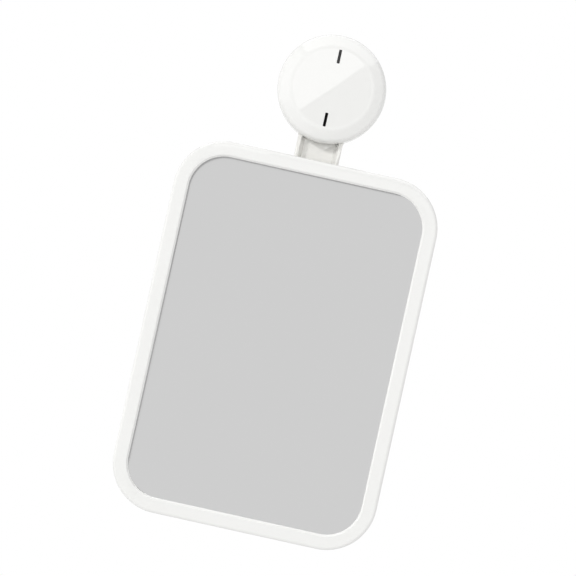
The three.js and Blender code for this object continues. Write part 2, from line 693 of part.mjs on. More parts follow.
function backShell() {
  const plate = extruded(frameOutline(shellInset), 0, SHELL_WALL);
  const ringLow = SHELL_WALL - SINK;
  const ringInner = SHELL_RING_INSET + SHELL_RIB_WALL;
  const perimeter = carriedRound([
    [SHELL_RING_INSET, ringLow],
    [SHELL_RING_INSET, shellRibTop],
    [ringInner, shellRibTop],
    [ringInner, ringLow],
  ]);
  const halfWidth = FRAME_WIDTH / 2 - SHELL_RING_INSET - SHELL_RIB_WALL / 2;
  const halfHeight = FRAME_HEIGHT / 2 - SHELL_RING_INSET - SHELL_RIB_WALL / 2;
  const wall = SHELL_RIB_WALL / 2;
  const columns = Math.floor(halfWidth / SHELL_RIB_PITCH - 0.5);
  const rows = Math.floor(halfHeight / SHELL_RIB_PITCH - 0.5);
  const ribs = [];
  for (let i = -columns; i <= columns; i++) {
    const x = i * SHELL_RIB_PITCH;
    ribs.push(block(x - wall, x + wall, -halfHeight, halfHeight, ringLow, shellRibTop));
  }
  for (let i = -rows; i <= rows; i++) {
    const y = i * SHELL_RIB_PITCH;
    ribs.push(block(-halfWidth, halfWidth, y - wall, y + wall, ringLow, shellRibTop));
  }
  const bosses = bracketPlaces().map(([x, y]) => rod(BRACKET_BOSS_RADIUS, ringLow, shellRibTop)
    .translate(x, y, 0));
  const dish = overlapOf(armRelief(SHELL_WALL), extruded(frameOutline(shellInset), 0, lipBack - GAP));
  const frameHoles = framePlaces().map(([x, y]) => screwForm(SCREW_FIT, SHELL_WALL + OVERRUN, OVERRUN)
    .translate(x, y, 0));
  const bracketHoles = bracketPlaces().map(([x, y]) => rod(SCREW_RADIUS + SCREW_FIT, -OVERRUN,
    BRACKET_SCREW_LENGTH - FOOT_WALL).translate(x, y, 0));
  const cuts = [armRelief(0), ...frameHoles, ...bracketHoles];
  return mesh('back_shell', built(plate, [perimeter, ...ribs, ...bosses, dish], cuts), WHITE_PLASTIC);
}

// Bracket: a foot on the back shell and a knuckle between the arm's ears, tied by gussets.
function hingeBracket() {
  const footFront = -FACE_GAP;
  const footBack = footFront - FOOT_WALL;
  const footTop = hingeInMirror.y - FOOT_DROP;
  const foot = extruded(roundedRectangle(FOOT_WIDTH, FOOT_HEIGHT, FOOT_CORNER), footBack, footFront)
    .translate(0, footTop - FOOT_HEIGHT / 2, 0);
  const place = (geometry) => geometry.translate(0, hingeInMirror.y, hingeInMirror.z);
  const knuckle = place(alongX(rod(KNUCKLE_RADIUS, -knuckleHalf, knuckleHalf)));
  const heel = new THREE.Vector2(FOOT_SCREW_MARGIN - FOOT_DROP - FOOT_HEIGHT, footBack - hingeInMirror.z);
  const tangent = heel.angle() + Math.acos(KNUCKLE_RADIUS / heel.length());
  const outline = new THREE.Shape();
  outline.moveTo(heel.x, heel.y);
  outline.lineTo(KNUCKLE_RADIUS * Math.cos(tangent), KNUCKLE_RADIUS * Math.sin(tangent));
  outline.absarc(0, 0, KNUCKLE_RADIUS, tangent, Math.PI / 2, false);
  outline.lineTo(-FOOT_DROP - FOOT_CORNER, footBack - hingeInMirror.z + SINK);
  outline.lineTo(heel.x, footBack - hingeInMirror.z + SINK);
  const gussets = [-1, 0, 1].map((i) => {
    const middle = i * (knuckleHalf - GUSSET_WALL / 2);
    return place(across(outline, middle - GUSSET_WALL / 2, middle + GUSSET_WALL / 2));
  });
  const bore = place(alongX(rod(BOLT_RADIUS + BOLT_FIT, -knuckleHalf - OVERRUN, knuckleHalf + OVERRUN)));
  const holes = bracketPlaces().map(([x, y]) => screwForm(SCREW_FIT, FOOT_WALL + OVERRUN, OVERRUN)
    .translate(x, y, footBack));
  return mesh('hinge_bracket', built(foot, [knuckle, ...gussets], [bore, ...holes]), INNER_PLASTIC);
}

// Bolt, nut and washers of the tilting hinge, drawn along X about the bolt's axis.
function hingeHardware() {
  const group = new THREE.Group();
  const springLeft = armHalf + FACE_GAP;
  const nutLeft = springLeft + SPRING_WALL + SPRING_DISH + FACE_GAP;
  const headRight = -armHalf - FACE_GAP;
  const dome = arc(0, 0, 1, -Math.PI / 2, 0)
    .map(([wide, deep]) => [wide * BOLT_HEAD_RADIUS, headRight + deep * BOLT_HEAD_HEIGHT]);
  const bolt = turned([
    ...dome,
    [BOLT_RADIUS, headRight],
    [BOLT_RADIUS, nutLeft + NUT_HEIGHT + BOLT_END],
    [0, nutLeft + NUT_HEIGHT + BOLT_END],
  ], SMALL_STEPS);
  group.add(mesh('hinge_bolt', alongX(bolt), STEEL));
  const bore = BOLT_RADIUS + BOLT_FIT;
  const spring = turned([
    [bore, springLeft + SPRING_DISH],
    [SPRING_RADIUS, springLeft],
    [SPRING_RADIUS, springLeft + SPRING_WALL],
    [bore, springLeft + SPRING_DISH + SPRING_WALL],
    [bore, springLeft + SPRING_DISH],
  ], SMALL_STEPS);
  group.add(mesh('spring_washer', alongX(spring), STEEL));
  const hexagon = new THREE.Shape(arc(0, 0, NUT_RADIUS, 0, Math.PI * 2, 6).slice(0, 6)
    .map(([x, y]) => new THREE.Vector2(x, y)));
  const nut = built(extruded(hexagon, nutLeft, nutLeft + NUT_HEIGHT), [],
    [rod(bore, nutLeft - OVERRUN, nutLeft + NUT_HEIGHT + OVERRUN)]);
  group.add(mesh('hinge_nut', alongX(nut), STEEL));
  for (const [name, side] of [['hinge_washer_left', -1], ['hinge_washer_right', 1]]) {
    const middle = side * (channelHalf - FACE_GAP - HINGE_WASHER_THICKNESS / 2);
    const washer = ring(bore, KNUCKLE_RADIUS, middle - HINGE_WASHER_THICKNESS / 2,
      middle + HINGE_WASHER_THICKNESS / 2, SMALL_STEPS);
    group.add(mesh(name, alongX(washer), { color: 0x2f3133, roughness: 0.6, metalness: 0 }));
  }
  group.position.set(0, hingeY, hingeHeight);
  return group;
}

function knob() {
  const cover = knobCover();
  cover.position.z = knobRear;
  const group = new THREE.Group();
  group.add(cover, camRing());
  return group;
}

function mirror() {
  const group = new THREE.Group();
  group.add(mirrorFrame(), mirrorGlass(), backingPad(), backShell(), hingeBracket());
  framePlaces().forEach(([x, y], i) => {
    group.add(screw(`frame_screw_${i + 1}`, x, y, 0, SCREW_LENGTH));
  });
  bracketPlaces().forEach(([x, y], i) => {
    group.add(screw(`bracket_screw_${i + 1}`, x, y, -FACE_GAP - FOOT_WALL, BRACKET_SCREW_LENGTH));
  });
  group.position.set(0, -knobToMirror, mirrorHeight);
  return group;
}

const suctionCupMirror = new THREE.Group();
suctionCupMirror.add(suctionDisc(), discPost(), crossPin(), armHousing(), camWasher());
suctionCupMirror.add(knob(), hingeHardware(), mirror());
suctionCupMirror.rotation.x = Math.PI / 2;

export default suctionCupMirror;
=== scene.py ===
# %% [markdown]
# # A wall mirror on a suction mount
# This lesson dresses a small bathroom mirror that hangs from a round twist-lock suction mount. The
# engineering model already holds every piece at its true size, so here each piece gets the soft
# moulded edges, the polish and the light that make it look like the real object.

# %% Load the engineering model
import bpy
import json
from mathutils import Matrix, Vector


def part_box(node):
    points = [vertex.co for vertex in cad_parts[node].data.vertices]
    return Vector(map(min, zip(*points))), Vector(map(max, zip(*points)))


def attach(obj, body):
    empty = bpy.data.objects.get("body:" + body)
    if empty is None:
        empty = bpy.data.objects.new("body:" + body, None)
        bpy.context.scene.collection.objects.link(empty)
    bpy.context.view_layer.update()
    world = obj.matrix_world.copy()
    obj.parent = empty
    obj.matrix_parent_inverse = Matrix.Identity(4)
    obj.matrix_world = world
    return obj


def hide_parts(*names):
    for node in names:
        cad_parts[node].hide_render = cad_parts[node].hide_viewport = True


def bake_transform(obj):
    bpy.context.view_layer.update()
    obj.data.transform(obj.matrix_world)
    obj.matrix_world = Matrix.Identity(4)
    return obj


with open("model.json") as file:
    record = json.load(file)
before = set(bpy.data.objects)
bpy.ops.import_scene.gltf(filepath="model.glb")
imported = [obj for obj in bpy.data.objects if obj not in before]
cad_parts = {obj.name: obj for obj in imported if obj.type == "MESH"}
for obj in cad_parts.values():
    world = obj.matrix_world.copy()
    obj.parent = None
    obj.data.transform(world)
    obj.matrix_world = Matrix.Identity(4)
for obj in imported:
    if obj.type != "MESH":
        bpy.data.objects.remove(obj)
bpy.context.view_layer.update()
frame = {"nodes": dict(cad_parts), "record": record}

# %% [markdown]
# ## Measures
# Blender counts in metres, and a maker of plastic parts in millimetres, so one number turns the one
# into the other. The drawing of the object was made from the front: to the right, up, and out of the
# wall. Here the wall is the plane Y = 0 and out of the wall is -Y, and one function sees to that.

# %% Millimetres and places
import json
import math
import bmesh
import bpy
from mathutils import Matrix, Vector

MM = 0.001


def place(right, up, out):
    return Vector((right, -out, up)) * MM


# %% [markdown]
# ## Camera
# The photograph looks straight at the mirror from about a metre and a half, through a long lens, and
# the camera leans a little to its left, so the object seems to lean to the right. The lens could be
# tried until the picture fits. Here it follows from the width that the picture shows at the mirror's
# front, so there is one number to measure and none to guess.

# %% Stand the camera where the photograph was taken
SENSOR = 36.0
SEEN_WIDTH = 416.8
CAMERA_DISTANCE = 1500.0
FRONT_PLANE = 36.0
AIM_RIGHT, AIM_HEIGHT = 0.1, -148.6
ROLL = math.radians(12.46)

camera = bpy.data.objects.new("camera", bpy.data.cameras.new("camera"))
bpy.context.scene.collection.objects.link(camera)
camera.data.sensor_width = SENSOR
camera.data.lens = SENSOR * CAMERA_DISTANCE / SEEN_WIDTH
camera.location = place(AIM_RIGHT, AIM_HEIGHT, FRONT_PLANE + CAMERA_DISTANCE)
upright = Matrix.Rotation(math.pi / 2, 3, "X")
camera.rotation_euler = (Matrix.Rotation(-ROLL, 3, "Y") @ upright).to_euler()
bpy.context.scene.camera = camera
print(f"lens {camera.data.lens:.1f} mm, roll {math.degrees(ROLL):.2f} degrees")

# %% [markdown]
# ## Colours and nodes
# Colours are picked on a screen as sRGB hex values, but the renderer adds up light in linear values.
# One function converts them. Another small function adds a node to a material with its settings and
# its links, so that a material reads as a short list of nodes. A socket goes by its name, or by its
# number where several share a name: 6 and 7 are the two colours of a Mix node.

# %% Two helpers for materials
def linear(hex_colour):
    values = [int(hex_colour[i:i + 2], 16) / 255 for i in (1, 3, 5)]
    light = [v / 12.92 if v <= 0.04045 else ((v + 0.055) / 1.055) ** 2.4 for v in values]
    return (*light, 1.0)


def add(tree, kind, inputs=(), **settings):
    node = tree.nodes.new(kind)
    for name, value in settings.items():
        setattr(node, name, value)
    for name, value in dict(inputs).items():
        if isinstance(value, bpy.types.NodeSocket):
            tree.links.new(value, node.inputs[name])
        else:
            node.inputs[name].default_value = value
    return node


print(f"the middle grey #808080 is {linear('#808080')[0]:.3f} in linear light")

# %% [markdown]
# Every material here starts in the same way: an empty node tree, and a texture position counted in
# millimetres of the object. The position comes from the Object coordinates, so that a pattern stays
# on its piece when the piece moves.

# %% Start a material
def start_material(name):
    material = bpy.data.materials.new(name)
    material.use_nodes = True
    tree = material.node_tree
    tree.nodes.clear()
    metres = add(tree, "ShaderNodeTexCoord").outputs["Object"]
    scaled = add(tree, "ShaderNodeVectorMath", {"Vector": metres, "Scale": 1 / MM},
                 operation="SCALE")
    return material, tree, scaled.outputs[0]


print(f"positions are scaled by {1 / MM:.0f}, so a noise of scale 1 has lumps of a millimetre")

# %% [markdown]
# ## Moulded plastics
# The frame, the arm and the knob are ABS, injection moulded in a polished steel tool. ABS is opaque
# and bright, its index is about 1.54, and a polished tool leaves a surface that mirrors lamps
# sharply. What gives it away as moulded is faint: the colour drifts by a percent or so where the
# melt flowed, the gloss varies a little, and the surface waves by a few tenths of a micron over some
# millimetres, as orange peel does. Three noises of different size give these. A painted picture
# could too, but a noise in space needs no unwrapping and has no seams. The arm's colour is a little
# warmer than the frame's, and also a little lighter: the lighter colour is painted light, which
# lightens the shade in the arm's channel.
# The bracket and the stiff pieces inside are natural acetal, which is milky and slippery. Their tool
# was spark eroded, so they are satin, with a grain that is finer than a pixel and is drawn 0.7 mm
# wide to show. The index of acetal is a little lower, but a satin surface doesn't tell, so the same
# function makes it.

# %% Make the moulded plastics
FLOW_MM, WEAR_MM = 42.0, 9.0


def moulded(name, light, dark, gloss, grain_mm, grain_depth_mm):
    material, tree, spot = start_material(name)
    flow = add(tree, "ShaderNodeTexNoise", {"Vector": spot, "Scale": 1 / FLOW_MM, "Detail": 2.0})
    colour = add(tree, "ShaderNodeMix", {0: flow.outputs[0], 6: linear(dark), 7: linear(light)},
                 data_type="RGBA")
    wear = add(tree, "ShaderNodeTexNoise", {"Vector": spot, "Scale": 1 / WEAR_MM, "Detail": 4.0})
    rough = add(tree, "ShaderNodeMapRange", {"Value": wear.outputs[0], "To Min": gloss * 0.85,
                                             "To Max": gloss * 1.15})
    grain = add(tree, "ShaderNodeTexNoise", {"Vector": spot, "Scale": 1 / grain_mm, "Detail": 3.0})
    bump = add(tree, "ShaderNodeBump", {"Height": grain.outputs[0], "Strength": 1.0,
                                        "Distance": grain_depth_mm * MM})
    shader = add(tree, "ShaderNodeBsdfPrincipled", {
        "Base Color": colour.outputs[2], "Roughness": rough.outputs[0], "Normal": bump.outputs[0],
        "IOR": 1.54, "Metallic": 0.0})
    add(tree, "ShaderNodeOutputMaterial", {"Surface": shader.outputs[0]})
    return material


polished_abs = moulded("polished_white_abs", "#f3f3f1", "#f1f1ef", 0.01, 6.0, 0.0002)
# the arm's ABS is lighter than the frame's, a painted lightening of the shade in its channel, and a
# little warmer
shade_lightened_abs = moulded("channel_shade_lightened_white_abs", "#f6f5f1", "#f4f3ef", 0.05, 4.0, 0.0004)
satin_acetal = moulded("spark_eroded_acetal", "#ecebe8", "#e8e7e3", 0.42, 0.7, 0.02)
print("moulded plastics:", polished_abs.name, shade_lightened_abs.name, satin_acetal.name)

# %% [markdown]
# ## Silvered glass
# The mirror is float glass with silver and grey paint behind it. Seen from the front it is a metal
# that mirrors nearly everything, a little dulled by the glass in front. It could be built as clear
# glass before a metal sheet, but that doubles every reflection and the real one shows no double at
# this distance, so one metal surface stands for both. It has almost no roughness, only the faint
# film that wiping leaves, in patches of some centimetres.

# %% Make the silvered glass
FILM_MM = 60.0


def silvered_glass():
    material, tree, spot = start_material("silvered_float_glass")
    film = add(tree, "ShaderNodeTexNoise", {"Vector": spot, "Scale": 1 / FILM_MM, "Detail": 3.0})
    tint = add(tree, "ShaderNodeMix", {0: film.outputs[0], 6: linear("#dfdfdf"),
                                       7: linear("#e0e0e0")}, data_type="RGBA")
    rough = add(tree, "ShaderNodeMapRange", {"Value": film.outputs[0], "To Min": 0.008,
                                             "To Max": 0.02})
    shader = add(tree, "ShaderNodeBsdfPrincipled", {
        "Base Color": tint.outputs[2], "Roughness": rough.outputs[0], "Metallic": 1.0})
    add(tree, "ShaderNodeOutputMaterial", {"Surface": shader.outputs[0]})
    return material


mirror_silver = silvered_glass()
print("the mirror's finish:", mirror_silver.name)

# %% [markdown]
# ## Soft PVC and steel
# The suction disc is soft clear PVC with a milky cast, so part of the light passes through it and
# part scatters inside. The screws, the pin and the bolt are steel, zinc plated in a barrel, which
# leaves small crystals of slightly different brightness. They are finer than a pixel, so they are
# drawn half a millimetre wide to show. A noise would make clouds of them, so they are the cells of a
# Voronoi pattern, which have straight borders as crystals have.

# %% Make the soft PVC and the plated steel
CLOUD_MM, CRYSTALS_PER_MM, PLATING_PER_MM = 15.0, 2.2, 6.0


def soft_pvc():
    material, tree, spot = start_material("soft_clear_pvc")
    cloud = add(tree, "ShaderNodeTexNoise", {"Vector": spot, "Scale": 1 / CLOUD_MM, "Detail": 3.0})
    tint = add(tree, "ShaderNodeMix", {0: cloud.outputs[0], 6: linear("#dfe6e8"),
                                       7: linear("#eaeff0")}, data_type="RGBA")
    rough = add(tree, "ShaderNodeMapRange", {"Value": cloud.outputs[0], "To Min": 0.14,
                                             "To Max": 0.26})
    shader = add(tree, "ShaderNodeBsdfPrincipled", {
        "Base Color": tint.outputs[2], "Roughness": rough.outputs[0], "IOR": 1.53,
        "Transmission Weight": 0.45, "Subsurface Weight": 0.2, "Subsurface Scale": 0.002})
    add(tree, "ShaderNodeOutputMaterial", {"Surface": shader.outputs[0]})
    return material


def zinc_plated_steel():
    material, tree, spot = start_material("zinc_plated_steel")
    crystals = add(tree, "ShaderNodeTexVoronoi", {"Vector": spot, "Scale": CRYSTALS_PER_MM})
    tint = add(tree, "ShaderNodeMix", {0: crystals.outputs["Color"], 6: linear("#b9bdc1"),
                                       7: linear("#cfd2d4")}, data_type="RGBA")
    plating = add(tree, "ShaderNodeTexNoise", {"Vector": spot, "Scale": PLATING_PER_MM,
                                               "Detail": 4.0})
    rough = add(tree, "ShaderNodeMapRange", {"Value": plating.outputs[0], "To Min": 0.22,
                                             "To Max": 0.36})
    shader = add(tree, "ShaderNodeBsdfPrincipled", {
        "Base Color": tint.outputs[2], "Roughness": rough.outputs[0], "Metallic": 1.0})
    add(tree, "ShaderNodeOutputMaterial", {"Surface": shader.outputs[0]})
    return material


clear_pvc = soft_pvc()
plated_steel = zinc_plated_steel()
print("the disc's and the screws' finish:", clear_pvc.name, plated_steel.name)

# %% [markdown]
# ## Nylon, foam and ink
# The friction washers are black nylon, matt from a blasted tool, whose fine grain is drawn a
# millimetre wide to show. The pad behind the glass is grey polyethylene foam, whose cells of about a
# millimetre are dents a tenth of a millimetre deep. The two strokes on the knob are black
# pad-printed ink, smooth and glossy. All three are one plain colour with a grain of its own size, so
# one function makes them.

# %% Make the dark finishes
def grained(name, light, dark, roughness, grain_mm, depth_mm, index=1.5):
    material, tree, spot = start_material(name)
    cells = add(tree, "ShaderNodeTexNoise", {"Vector": spot, "Scale": 1 / grain_mm, "Detail": 5.0})
    tint = add(tree, "ShaderNodeMix", {0: cells.outputs[0], 6: linear(dark), 7: linear(light)},
               data_type="RGBA")
    bump = add(tree, "ShaderNodeBump", {"Height": cells.outputs[0], "Strength": 1.0,
                                        "Distance": depth_mm * MM})
    shader = add(tree, "ShaderNodeBsdfPrincipled", {
        "Base Color": tint.outputs[2], "Normal": bump.outputs[0], "IOR": index,
        "Roughness": roughness})
    add(tree, "ShaderNodeOutputMaterial", {"Surface": shader.outputs[0]})
    return material


black_nylon = grained("black_nylon", "#34373a", "#26282b", 0.5, 1.2, 0.01)
grey_foam = grained("polyethylene_foam", "#6d7174", "#54585b", 0.95, 0.9, 0.12)
black_ink = grained("pad_printed_ink", "#0d0d0e", "#070708", 0.03, 0.6, 0.0001, 1.4)
print("dark finishes:", black_nylon.name, grey_foam.name, black_ink.name)

# %% [markdown]
# ## Outlines with rounded corners
# A moulded edge is never sharp: the tool leaves a small radius, and that radius is what catches the
# light. So the outlines below are lists of corners with a radius each, and one function turns every
# corner into a short arc. A bevel would round them too, but only by one width for all.

# %% Round the corners of an outline
def rounded(corners, steps=6):
    points = []
    for i, (x, y, radius) in enumerate(corners):
        here = Vector((x, y))
        before = Vector(corners[i - 1][:2]) - here
        after = Vector(corners[(i + 1) % len(corners)][:2]) - here
        if radius == 0:
            points.append(here)
            continue
        half = before.angle(after) / 2
        reach = radius / math.tan(half)
        start, end = here + before.normalized() * reach, here + after.normalized() * reach
        inwards = (before.normalized() + after.normalized()).normalized()
        centre = here + inwards * radius / math.sin(half)
        first, turn = start - centre, (start - centre).angle_signed(end - centre)
        for k in range(steps + 1):
            points.append(centre + Matrix.Rotation(-turn * k / steps, 2) @ first)
    return points


print("a square with round corners has", len(rounded([(0, 0, 1), (9, 0, 1), (9, 9, 1), (0, 9, 1)])),
      "points")

# %% [markdown]
# ## From mesh to piece
# A finished piece gets its material and the body that it rides on, and the engineering shape that it
# replaces is hidden. Where long flat faces meet narrow rounds, shading weighted by area keeps the
# flats even.

# %% Finish a mesh as a piece
SMOOTH_ANGLE = math.radians(32)


def as_object(name, bm):
    mesh = bpy.data.meshes.new(name)
    bm.to_mesh(mesh)
    bm.free()
    return bpy.data.objects.new(name, mesh)


def smooth(piece):
    piece.data.shade_smooth()
    piece.data.set_sharp_from_angle(angle=SMOOTH_ANGLE)


def even_shading(piece):
    piece.modifiers.new("even shading", "WEIGHTED_NORMAL").keep_sharp = True


def finish_piece(name, bm, body, slot, material, *nodes):
    bmesh.ops.recalc_face_normals(bm, faces=bm.faces)
    piece = as_object(name, bm)
    bpy.context.scene.collection.objects.link(piece)
    piece.data.materials.append(material)
    smooth(piece)
    if body:
        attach(piece, body)
    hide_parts(*nodes)
    spans = [max(line) - min(line) for line in zip(*(v.co / MM for v in piece.data.vertices))]
    size = " x ".join(f"{span:.1f}" for span in spans)
    print(f"{name}: {size} mm, {len(piece.data.polygons)} faces")
    return piece


print(f"edges sharper than {math.degrees(SMOOTH_ANGLE):.0f} degrees stay sharp")

# %% [markdown]
# ## Turning
# Round pieces are turned as on a lathe: each point of an outline makes a ring about the knob's axis,
# and faces join each ring to the next. A point on the axis makes a ring of one corner, where the
# faces are triangles. The Screw modifier turns a line too, but the function that joins two rings
# serves again for the threads and the printed strokes.

# %% Turn an outline about the knob's axis
KNOB_STEPS, DISC_STEPS = 160, 96


def join_rings(bm, ring, other, steps):
    for k in range(steps):
        corners = [ring[k % len(ring)], ring[(k + 1) % steps % len(ring)],
                   other[(k + 1) % steps % len(other)], other[k % len(other)]]
        kept = [v for j, v in enumerate(corners) if v not in corners[:j]]
        if len(kept) > 2:
            bm.faces.new(kept)


def turned(outline, steps):
    bm = bmesh.new()
    rings = []
    for radius, out in outline:
        angles = [math.tau * k / steps for k in range(1 if radius == 0 else steps)]
        rings.append([bm.verts.new(place(radius * math.cos(a), radius * math.sin(a), out))
                      for a in angles])
    for i, ring in enumerate(rings):
        join_rings(bm, ring, rings[(i + 1) % len(rings)], steps)
    return bm


print(f"one step turns the knob by {360 / KNOB_STEPS} degrees, and the disc by {360 / DISC_STEPS}")

# %% [markdown]
# ## The knob
# The knob is a shallow cap of 80 mm. Its flat face ends in a wide soft round, a straight slope runs
# down to a tighter one, and a curved skirt drops to the rear rim. It is a thin shell, so the outline
# runs down the outside and back up the inside. The skirt is a curve between three points, because
# that gives its full belly with one number to change.

# %% Turn the knob
KNOB_REAR, KNOB_FRONT, KNOB_WALL = 21.2, 31.6, 2.2
KNOB_RADIUS, KNOB_BREAK, KNOB_FACE = 39.9, 35.8, 30.0
KNOB_DROP, SKIRT_PULL, SKIRT_STEPS = 2.9, 27.2, 10
FACE_ROUND, BREAK_ROUND, RIM_ROUND = 8.0, 0.9, 0.35


def skirt(wall):
    side = KNOB_RADIUS - wall
    start, pull = Vector((side, KNOB_REAR)), Vector((side, SKIRT_PULL - wall))
    end = Vector((KNOB_BREAK - wall, KNOB_FRONT - KNOB_DROP - wall))
    shares = [k / SKIRT_STEPS for k in range(1, SKIRT_STEPS)]
    return [(*start.lerp(pull, t).lerp(pull.lerp(end, t), t), 0) for t in shares]


knob_outline = rounded([
    (0, KNOB_FRONT, 0),
    (KNOB_FACE, KNOB_FRONT, FACE_ROUND),
    (KNOB_BREAK, KNOB_FRONT - KNOB_DROP, BREAK_ROUND),
    *reversed(skirt(0)),
    (KNOB_RADIUS, KNOB_REAR, RIM_ROUND),
    (KNOB_RADIUS - KNOB_WALL, KNOB_REAR, RIM_ROUND),
    *skirt(KNOB_WALL),
    (KNOB_BREAK - KNOB_WALL, KNOB_FRONT - KNOB_DROP - KNOB_WALL, 0),
    (KNOB_FACE - KNOB_WALL, KNOB_FRONT - KNOB_WALL, 0),
    (0, KNOB_FRONT - KNOB_WALL, 0),
])
knob = finish_piece("knob_cap", turned(knob_outline, KNOB_STEPS), "knob", "white_housing",
                    polished_abs, "knob_cover")
even_shading(knob)

# %% [markdown]
# Two short black strokes are printed on the knob's face, above and below its middle. They line up
# with the arm when the mount is released. A texture could paint them, but a mesh keeps their edges
# crisp at any distance. Ink has almost no thickness, so each stroke is a thin flat slip with round
# ends, just proud of the plastic.

# %% Print the two strokes
STROKE_MIDDLE, STROKE_SIDE = 23.4, 0.3
STROKE_LENGTH, STROKE_WIDTH, STROKE_ROUND, INK = 10.1, 2.15, 0.5, 0.03


def stroke(name, middle):
    bm = bmesh.new()
    x, y = STROKE_WIDTH / 2, STROKE_LENGTH / 2
    flat = rounded([(-x, -y, STROKE_ROUND), (x, -y, STROKE_ROUND), (x, y, STROKE_ROUND),
                    (-x, y, STROKE_ROUND)])
    low, high = ([bm.verts.new(place(STROKE_SIDE + p.x, middle + p.y, out)) for p in flat]
                 for out in (KNOB_FRONT - INK, KNOB_FRONT + INK))
    bm.faces.new(low)
    bm.faces.new(high)
    join_rings(bm, low, high, len(flat))
    finish_piece(name, bm, "knob", "friction_washer", black_ink)


stroke("stroke_upper", STROKE_MIDDLE)
stroke("stroke_lower", -STROKE_MIDDLE)

# %% [markdown]
# ## The mirror's frame
# The frame is one moulding with the same section all the way round, so its section is drawn once and
# carried round a rectangle with large round corners. A curve with a bevel object could carry it too,
# but here every corner keeps the exact place that the drawing gives it.
# The section has a 2.6 mm round on its outer edge, a flat face that ends 9.9 mm in, and a slope down
# to the thin lip that holds the glass. A narrow rib behind the face keeps the glass in its place.
# Each row below says how far in from the frame's outer side a corner lies, how far out of the wall,
# and how round it is.

# %% Carry a section round the frame
FRAME_WIDTH, FRAME_HEIGHT, FRAME_CORNER = 195.0, 275.0, 37.0
MIRROR_MIDDLE, FRAME_REAR, FRAME_FRONT = -191.4, 23.0, 36.0
CORNER_STEPS = 28


def carried(section, filled=False):
    bm = bmesh.new()
    rings = []
    x, y = FRAME_WIDTH / 2 - FRAME_CORNER, FRAME_HEIGHT / 2 - FRAME_CORNER
    for corner, (cx, cy) in enumerate([(x, y), (-x, y), (-x, -y), (x, -y)]):
        for k in range(CORNER_STEPS + 1):
            a = (corner + k / CORNER_STEPS) * math.pi / 2
            rings.append([bm.verts.new(place(
                cx + (FRAME_CORNER - inset) * math.cos(a),
                MIRROR_MIDDLE + cy + (FRAME_CORNER - inset) * math.sin(a), out))
                for inset, out in section])
    for i, ring in enumerate(rings):
        other = rings[(i + 1) % len(rings)]
        for k in range(len(section) - filled):
            j = (k + 1) % len(section)
            bm.faces.new([ring[k], ring[j], other[j], other[k]])
    if filled:
        for k in (0, -1):
            bm.faces.new([ring[k] for ring in rings])
    return bm


print("the frame's section is set", 4 * (CORNER_STEPS + 1), "times round the rectangle")

# %% Make the frame
FRAME_WALL, FRAME_ROUND, FACE_END = 2.5, 2.6, 9.9
LIP_START, LIP_FRONT, LIP_INSET, LIP_REAR = 11.0, 34.7, 11.15, 33.1
RIB_INNER, RIB_OUTER, RIB_REAR = 7.9, 6.7, 29.9

frame_section = rounded([
    (0, FRAME_REAR, 0.3),
    (0, FRAME_FRONT, FRAME_ROUND),
    (FACE_END, FRAME_FRONT, 0.4),
    (LIP_START, LIP_FRONT, 0.2),
    (LIP_INSET, LIP_REAR, 0),
    (RIB_INNER, LIP_REAR, 0),
    (RIB_INNER, RIB_REAR, 0),
    (RIB_OUTER, RIB_REAR, 0),
    (RIB_OUTER, LIP_REAR, 0),
    (FRAME_WALL, LIP_REAR, 0),
    (FRAME_WALL, FRAME_REAR, 0.3),
])
bezel = finish_piece("mirror_bezel", carried(frame_section), "mirror", "white_housing",
                     polished_abs, "mirror_frame")

# %% [markdown]
# The arm passes behind the frame's upper edge, and it needs room there when the mirror tilts. The
# real frame has a notch for it in its rear edge, which is cut here with a block set at the steepest
# tilt. The cut is made by a Boolean modifier that is applied at once, so the block can go again.

# %% Cut the notch for the arm
HINGE_UP, HINGE_OUT = -73.9, 15.0
TILT_OUT = math.radians(20)
NOTCH_HALF, NOTCH_TOP, NOTCH_REAR, NOTCH_FRONT = 18.7, 25, -20, 5.5


def block(name, low, high):
    bm = bmesh.new()
    bmesh.ops.create_cube(bm, size=1.0)
    for v in bm.verts:
        v.co = place(*(a + (b - a) * (c + 0.5) for a, b, c in zip(low, high, v.co)))
    bmesh.ops.recalc_face_normals(bm, faces=bm.faces)
    return as_object(name, bm)


def cut(piece, tool):
    bpy.context.scene.collection.objects.link(tool)
    modifier = piece.modifiers.new("cut", "BOOLEAN")
    modifier.operation, modifier.solver, modifier.object = "DIFFERENCE", "EXACT", tool
    bpy.context.view_layer.update()
    whole, depsgraph = piece.data, bpy.context.evaluated_depsgraph_get()
    piece.data = bpy.data.meshes.new_from_object(piece.evaluated_get(depsgraph))
    piece.modifiers.clear()
    bpy.data.meshes.remove(whole)
    bpy.data.objects.remove(tool)
    smooth(piece)


notch = block("notch", (-NOTCH_HALF, 0, NOTCH_REAR), (NOTCH_HALF, NOTCH_TOP, NOTCH_FRONT))
notch.data.transform(Matrix.Translation(place(0, HINGE_UP, HINGE_OUT))
                     @ Matrix.Rotation(TILT_OUT, 4, "X"))
cut(bezel, notch)
even_shading(bezel)
print("notched frame:", len(bezel.data.polygons), "faces")

# %% [markdown]
# ## Moulded edges on the engineering shapes
# The arm with its cup, the back shell and the hinge bracket have the right shape already, but their
# edges are knife sharp. They could be drawn anew, but a copy is surer to fit. Each copy is cleaned
# of the flat triangles that the engineering model is made of, and a bevel of a few tenths of a
# millimetre rounds what is left. The nut gets the same.

# %% Copy engineering shapes with softened edges
WELD, FLAT_ANGLE, EDGE_ANGLE = 1e-6, math.radians(1), math.radians(35)


def copied(node):
    bm = bmesh.new()
    bm.from_mesh(frame["nodes"][node].data)
    bmesh.ops.remove_doubles(bm, verts=bm.verts, dist=WELD)
    bmesh.ops.dissolve_limit(bm, angle_limit=FLAT_ANGLE, verts=bm.verts, edges=bm.edges)
    return bm


